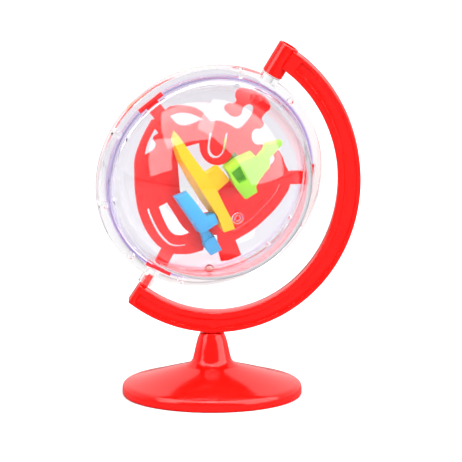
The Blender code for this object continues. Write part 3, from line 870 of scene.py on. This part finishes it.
class MAZEGLOBE_OT_arm(bpy.types.Operator):
    """Builds the C-shaped arm with its bearing tube, lower pin and stem."""

    bl_idname = "mazeglobe.arm"
    bl_label = "Arm"

    def execute(self, context):
        stand = context.scene.maze_globe_stand
        arm = make_arm_body("arm", stand)
        combine(arm, "UNION", [self.tube(), self.lower_pin(), self.stem()])
        combine(arm, "DIFFERENCE", [self.bore(), *self.ejector_marks(stand)])
        red = shared_material("stand red", moulded_plastic, stand.colour, *STAND_GLOSS)
        finish_piece(arm, "arm", ["globe_arm"], red)
        return {"FINISHED"}

    def tube(self):
        """The bearing tube at the arm's upper end, before it is bored."""
        low, high = TUBE_SPAN
        return turned("tube", [
            (0.0, low), (TUBE_RADIUS - CHAMFER, low), (TUBE_RADIUS, low + CHAMFER),
            (TUBE_RADIUS, high - CHAMFER), (TUBE_RADIUS - CHAMFER, high), (0.0, high),
        ], TUBE_STEPS, SPIN_FRAME)

    def lower_pin(self):
        """The pin at the arm's lower end, which the globe's socket stands on."""
        tip, root = PIN_SPAN
        return turned("pin", [
            (0.0, -tip), (PIN_RADIUS - CHAMFER, -tip), (PIN_RADIUS, -tip - CHAMFER),
            (PIN_RADIUS, -root), (0.0, -root),
        ], PIN_STEPS, SPIN_FRAME)

    def stem(self):
        """The stem that turns in the foot's socket, with a collar above it."""
        shoulder = NECK_TOP + FIT
        top = GLOBE_CENTRE.z + ARM_CENTRE[1] - ARM_OUTER[1] + COLLAR_SINK
        return turned("stem", [
            (0.0, STEM_END), (STEM_RADIUS - CHAMFER, STEM_END), (STEM_RADIUS, STEM_END + CHAMFER),
            (STEM_RADIUS, shoulder), (COLLAR_RADIUS, shoulder), (COLLAR_RADIUS, top), (0.0, top),
        ], STEM_STEPS)

    def bore(self):
        """The hole through the bearing tube."""
        radius = TRUNNION_RADIUS + FIT
        low, high = TUBE_SPAN
        return turned("bore", [
            (0.0, low - MM), (radius, low - MM), (radius, high + MM), (0.0, high + MM),
        ], TUBE_STEPS, SPIN_FRAME)

    def ejector_marks(self, stand):
        """Shallow round hollows down the middle of each channel, left by the mould's ejector pins."""
        depth = stand.arm_width / 2 - stand.recess - EJECTOR_DEPTH
        marks = []
        for angle in EJECTOR_ANGLES:
            inner = arm_reach(ARM_INNER, angle) + stand.inner_rim
            outer = arm_reach(ARM_OUTER, angle) - stand.outer_rim
            outline = disc(EJECTOR_RADIUS, 32, polar((inner + outer) / 2, angle))
            for low, high in ((depth, depth + MM), (-depth - MM, -depth)):
                marks.append(flat_piece("mark", [outline], low, high, ARM_FRAME))
        return marks


class MAZEGLOBE_OT_shells(bpy.types.Operator):
    """Builds the two clear shells with their flanges, trunnion halves, pegs and tab pockets."""

    bl_idname = "mazeglobe.shells"
    bl_label = "Clear shells"

    def execute(self, context):
        shell = context.scene.maze_globe_shell
        tint_and_painted_fringe = (shell.tint, shell.painted_fringe_tint)
        clear = shared_material("clear plastic", clear_plastic, *tint_and_painted_fringe, shell.outer_radius)
        for name, side in (("front_shell", 1), ("back_shell", -1)):
            piece = turned(name, shell_profile(shell, side), shell.steps, MAZE_FRAME)
            combine(piece, "UNION", self.trunnions(shell, side))
            combine(piece, "DIFFERENCE", self.pockets())
            combine(piece, "DIFFERENCE" if side > 0 else "UNION", self.pegs(side))
            if side > 0:
                combine(piece, "UNION", [self.gate_ring(shell, radius) for radius in GATE_RINGS])
            finish_piece(piece, "globe", ["front_dome" if side > 0 else "back_dome"], clear)
        return {"FINISHED"}

    def trunnions(self, shell, side):
        """Half of the upper boss and pin, and half of the lower socket."""
        root = shell.flange_radius
        bodies = (
            ("boss", BOSS_RADIUS, root - 1.4 * MM, TUBE_SPAN[0] - FIT),
            ("trunnion", TRUNNION_RADIUS, root - 0.7 * MM, TRUNNION_END),
            ("socket", SOCKET_RADIUS, -SOCKET_SPAN[1], -SOCKET_SPAN[0]),
        )
        return [
            flat_piece(name, [half_disc(radius, -side)], low, high, SPIN_FRAME)
            for name, radius, low, high in bodies
        ]

    def pockets(self):
        """The lower socket's bore and the pockets for the plate's tabs."""
        reach = -PIN_SPAN[0] + FIT
        bore = flat_piece("bore", [disc(PIN_RADIUS + FIT, 32)], -SOCKET_SPAN[1] - MM, reach, SPIN_FRAME)
        half = PLATE_HALF + FIT
        return [bore] + [
            flat_piece(f"pocket{i}", [tab_outline(angle, FIT)], -half, half, MAZE_FRAME)
            for i, angle in enumerate(TAB_ANGLES)
        ]

    def pegs(self, side):
        """Pegs of the back shell, or the holes they enter in the front one."""
        hole, peg = (PEG_RADIUS + FIT, 0.0, 1.25 * MM), (PEG_RADIUS, -0.8 * MM, 0.9 * MM)
        radius, low, high = hole if side > 0 else peg
        return [
            flat_piece(f"peg{i}", [disc(radius, 24, polar(PEG_CIRCLE, angle))], low, high, MAZE_FRAME)
            for i, angle in enumerate(PEG_ANGLES)
        ]

    def gate_ring(self, shell, radius):
        """A fine raised ring near the pole, left by the mould."""
        outer = shell.outer_radius
        x, y = GATE_RING_PLACE
        away = Vector((x, y, math.sqrt(1 - x * x - y * y)))
        turn = away.to_track_quat("Z", "Y").to_matrix().to_4x4()
        height = math.sqrt(outer**2 - radius**2)
        section = arc(GATE_RING_SECTION, 0, 360, 10, (radius, height))[:-1]
        return turned("gate_ring", section, 48, MAZE_FRAME @ turn, closed=True)


class MAZEGLOBE_OT_plate(bpy.types.Operator):
    """Builds the red maze plate with its windows, slots and three tabs."""

    bl_idname = "mazeglobe.plate"
    bl_label = "Maze plate"

    def execute(self, context):
        maze = context.scene.maze_globe_maze
        outlines = [plate_outline(), *plate_openings()]
        span = (-PLATE_HALF, PLATE_HALF)
        plate = flat_piece("plate", outlines, *span, MAZE_FRAME, PLATE_ROUNDING, resolution=6)
        red = shared_material("maze red", moulded_plastic, maze.plate_colour, *MAZE_GLOSS)
        finish_piece(plate, "globe", ["maze_plate"], red)
        return {"FINISHED"}


class MAZEGLOBE_OT_rail(bpy.types.Operator):
    """Builds the tall yellow rail and its foot."""

    bl_idname = "mazeglobe.rail"
    bl_label = "Yellow rail"

    def execute(self, context):
        maze = context.scene.maze_globe_maze
        right = [(11.5, -8.4), (8.7, -6.2), (4.8, -3.8), (0.5, -1.0), (-4.5, 1.5), (-11.1, 4.3), (-17.1, 7.2)]
        top = [(-17.3, 4.8), (-13.5, 2.1), (-6.8, -1.3), (-0.2, -4.7), (5.0, -7.4), (9.2, -10.7)] + right
        root = [(-16.3, 4.4), (-11.8, 0.3), (-5.8, -3.4), (0.7, -6.8), (5.4, -9.0), (9.2, -10.9)] + right
        lug = [(-3.4, 0.4), (-2.4, 1.2), (-1.0, 3.7), (0.0, 4.1), (3.9, 2.6), (4.2, 2.1), (2.8, -1.8)]
        rail = maze_wall("rail", root, top, PIECE_BASE, 7.4 * MM)
        combine(rail, "UNION", [maze_block("lug", lug, PIECE_BASE, 3.4 * MM)])
        round_edges(rail, maze.edge_round)
        yellow = shared_material("maze yellow", moulded_plastic, maze.rail_colour, *MAZE_GLOSS)
        finish_piece(rail, "globe", ["yellow_rail"], yellow)
        return {"FINISHED"}


class MAZEGLOBE_OT_brackets(bpy.types.Operator):
    """Builds the blue and the green bracket."""

    bl_idname = "mazeglobe.brackets"
    bl_label = "Brackets"

    def execute(self, context):
        maze = context.scene.maze_globe_maze
        blue = shared_material("maze blue", moulded_plastic, maze.blue_colour, *MAZE_GLOSS)
        green = shared_material("maze green", moulded_plastic, maze.green_colour, *MAZE_GLOSS)
        for piece, node, slot, plastic in (
            (self.make_blue(), "blue_bracket", "maze_blue", blue),
            (self.make_green(), "green_bracket", "maze_green", green),
        ):
            round_edges(piece, maze.edge_round)
            finish_piece(piece, "globe", [node], plastic)
        return {"FINISHED"}

    def make_blue(self):
        """A raised bar with a side stub, on a leg, with a neck and a square foot."""
        back_end = [(-4.9, -6.0), (-6.1, -5.6), (-7.0, -6.8)]
        top = [
            (-8.3, -8.2), (-0.2, -12.0), (3.4, -13.9), (4.7, -12.6), (5.3, -11.3), (6.5, -9.1), (4.0, -7.3),
            (2.4, -9.0), (0.6, -8.3), *back_end,
        ]
        low = [
            (-8.6, -8.7), (-0.5, -12.6), (3.1, -14.5), (5.0, -12.9), (5.4, -11.4), (5.9, -9.3), (3.5, -7.8),
            (2.3, -9.1), (0.6, -8.4), *back_end,
        ]
        leg = [(-1.5, -10.6), (4.4, -13.4), (5.0, -12.2), (-0.9, -9.6)]
        neck = [
            (3.6, -13.6), (4.9, -12.2), (6.2, -12.8), (8.2, -13.6), (9.4, -15.2), (7.6, -16.6), (5.2, -14.6),
        ]
        foot = [(7.2, -16.3), (8.0, -14.3), (8.9, -13.5), (12.8, -15.9), (10.9, -18.8), (8.6, -17.9)]
        piece = maze_wall("blue_piece", low, top, 4.4 * MM, 7.0 * MM)
        combine(piece, "UNION", [
            maze_block("leg", leg, PIECE_BASE, 5.0 * MM),
            maze_block("neck", neck, PIECE_BASE, 4.0 * MM),
            maze_block("square", foot, PIECE_BASE, 4.6 * MM),
        ])
        return piece

    def make_green(self):
        """A block with a pocket and a raised bar in front of the plate, and an arm behind it."""
        block = [
            (1.4, 4.7), (5.9, 1.7), (9.9, 0.1), (10.6, 0.4), (12.2, 3.4), (11.0, 4.5), (10.8, 6.4),
            (11.1, 8.6), (5.9, 12.0), (4.8, 10.6), (2.9, 8.2),
        ]
        bar = [
            (6.4, 7.5), (10.3, 6.0), (11.4, 11.0), (10.0, 13.6), (10.6, 16.4), (11.0, 18.3), (10.5, 19.2),
            (6.8, 16.1), (7.4, 14.6), (7.0, 12.4),
        ]
        pocket = [(2.4, 4.8), (3.5, 7.6), (7.5, 5.1), (6.4, 3.0)]
        link = [(2.9, 3.6), (5.4, 3.4), (6.0, 4.6), (5.8, 6.2), (3.0, 6.2)]
        arm = [(2.9, 4.2), (5.6, 3.4), (7.3, 6.9), (3.8, 9.2), (0.5, 11.8), (-1.0, 10.6), (1.0, 8.0)]
        piece = maze_block("green_piece", block, PIECE_BASE, 5.9 * MM)
        combine(piece, "UNION", [maze_block("bar", bar, 3.9 * MM, 6.0 * MM)])
        combine(piece, "DIFFERENCE", [maze_block("pocket", pocket, 2.4 * MM, 7.0 * MM)])
        combine(piece, "UNION", [
            maze_block("link", link, -2.6 * MM, 1.8 * MM),
            maze_block("arm", arm, -3.6 * MM, -PIECE_BASE),
        ])
        return piece


class MAZEGLOBE_OT_ball(bpy.types.Operator):
    """Builds the steel ball where it rests, low inside the front shell."""

    bl_idname = "mazeglobe.ball"
    bl_label = "Steel ball"

    def execute(self, context):
        settings = context.scene.maze_globe_ball
        low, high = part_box("steel_ball")
        work = bmesh.new()
        bmesh.ops.create_uvsphere(work, u_segments=48, v_segments=32, radius=settings.radius)
        ball = mesh_piece("ball", work, Matrix.Translation((low + high) / 2))
        steel = shared_material("polished steel", polished_steel, settings.colour)
        finish_piece(ball, "ball", ["steel_ball"], steel)
        return {"FINISHED"}


class MAZEGLOBE_OT_studio(bpy.types.Operator):
    """Builds the floor, the light panels, the surroundings and the camera."""

    bl_idname = "mazeglobe.studio"
    bl_label = "Studio"

    def execute(self, context):
        studio = context.scene.maze_globe_studio
        self.make_floor(studio)
        for name, away, side, size in PANELS:
            self.make_panel(name, Vector(away), Vector(side), size, studio)
        self.make_surroundings(context)
        self.make_camera(context, studio)
        context.scene.view_settings.view_transform = "Standard"
        return {"FINISHED"}

    def make_floor(self, studio):
        work = bmesh.new()
        bmesh.ops.create_grid(work, x_segments=8, y_segments=8, size=FLOOR_HALF)
        floor = mesh_piece("floor", work, Matrix.Translation((0, 0, cad_box[0].z)))
        floor.data.materials.append(shared_material("studio floor", studio_floor, studio.floor_colour))

    def make_panel(self, name, away, side, size, studio):
        """A soft rectangular lamp that faces the globe, with one side along a direction."""
        lamp = bpy.data.lights.new(name, "AREA")
        lamp.shape = "RECTANGLE"
        lamp.size, lamp.size_y = (share * PANEL_DISTANCE for share in size)
        lamp.energy = studio.panel_glow * math.pi * lamp.size * lamp.size_y
        back = away.normalized()
        across = (side - back * side.dot(back)).normalized()
        panel = bpy.data.objects.new(name, lamp)
        turn = Matrix((across, back.cross(across), back)).transposed()
        panel.matrix_world = Matrix.Translation(GLOBE_CENTRE + back * PANEL_DISTANCE) @ turn.to_4x4()
        bpy.context.scene.collection.objects.link(panel)

    def make_surroundings(self, context):
        """A pale wall behind the toy and a dim room in front of it; what is seen directly stays pale."""
        world = bpy.data.worlds.new("studio")
        context.scene.world = world
        recipe = Recipe(world, "Background", "Generated")
        parts = recipe.add("ShaderNodeSeparateXYZ")
        recipe.link(recipe.place, parts.inputs[0])
        room = recipe.spread(parts.outputs["Y"], low=0.14, high=0.75, start=-0.2, end=0.35)
        light = recipe.by_ray(seen=1.0, through=0.98, mirrored=room, scattered=0.5, trapped=0.9)
        recipe.link(light, recipe.shader.inputs["Color"])

    def make_camera(self, context, studio):
        lens = bpy.data.cameras.new("camera")
        lens.lens = studio.lens
        lens.clip_end = CAMERA_REACH
        camera = bpy.data.objects.new("camera", lens)
        context.scene.collection.objects.link(camera)
        distance = FRAME_WIDTH * studio.lens / lens.sensor_width
        back = Vector((0.0, -math.cos(studio.elevation), math.sin(studio.elevation)))
        camera.location = Vector(CAMERA_AIM) + back * distance
        camera.rotation_euler = back.to_track_quat("Z", "Y").to_euler()
        context.scene.camera = camera


class VIEW3D_PT_maze_globe(bpy.types.Panel):
    """Lists the settings and the operators of the maze globe."""

    bl_label = "Maze Globe"
    bl_space_type = "VIEW_3D"
    bl_region_type = "UI"
    bl_category = "Maze Globe"

    def draw(self, context):
        layout = self.layout
        for title, name, settings, operators in GROUPS:
            box = layout.box()
            box.label(text=title)
            for setting in settings.__annotations__:
                box.prop(getattr(context.scene, name), setting)
            for operator in operators:
                box.operator(operator.bl_idname)


GROUPS = (  # title, name on the scene, settings and operators
    ("Stand", "maze_globe_stand", MazeGlobeStandSettings, (MAZEGLOBE_OT_foot, MAZEGLOBE_OT_arm)),
    ("Shells", "maze_globe_shell", MazeGlobeShellSettings, (MAZEGLOBE_OT_shells,)),
    (
        "Maze", "maze_globe_maze", MazeGlobeMazeSettings,
        (MAZEGLOBE_OT_plate, MAZEGLOBE_OT_rail, MAZEGLOBE_OT_brackets),
    ),
    ("Ball", "maze_globe_ball", MazeGlobeBallSettings, (MAZEGLOBE_OT_ball,)),
    ("Studio", "maze_globe_studio", MazeGlobeStudioSettings, (MAZEGLOBE_OT_studio,)),
)


def register():
    for _, name, settings, operators in GROUPS:
        bpy.utils.register_class(settings)
        setattr(bpy.types.Scene, name, PointerProperty(type=settings))
        for operator in operators:
            bpy.utils.register_class(operator)
    bpy.utils.register_class(VIEW3D_PT_maze_globe)


def unregister():
    bpy.utils.unregister_class(VIEW3D_PT_maze_globe)
    for _, name, settings, operators in reversed(GROUPS):
        for operator in reversed(operators):
            bpy.utils.unregister_class(operator)
        delattr(bpy.types.Scene, name)
        bpy.utils.unregister_class(settings)


def main():
    register()
    bpy.ops.mazeglobe.foot()
    bpy.ops.mazeglobe.arm()
    bpy.ops.mazeglobe.shells()
    bpy.ops.mazeglobe.plate()
    bpy.ops.mazeglobe.rail()
    bpy.ops.mazeglobe.brackets()
    bpy.ops.mazeglobe.ball()
    bpy.ops.mazeglobe.studio()
    bpy.context.view_layer.update()


if __name__ == "__main__":
    main()
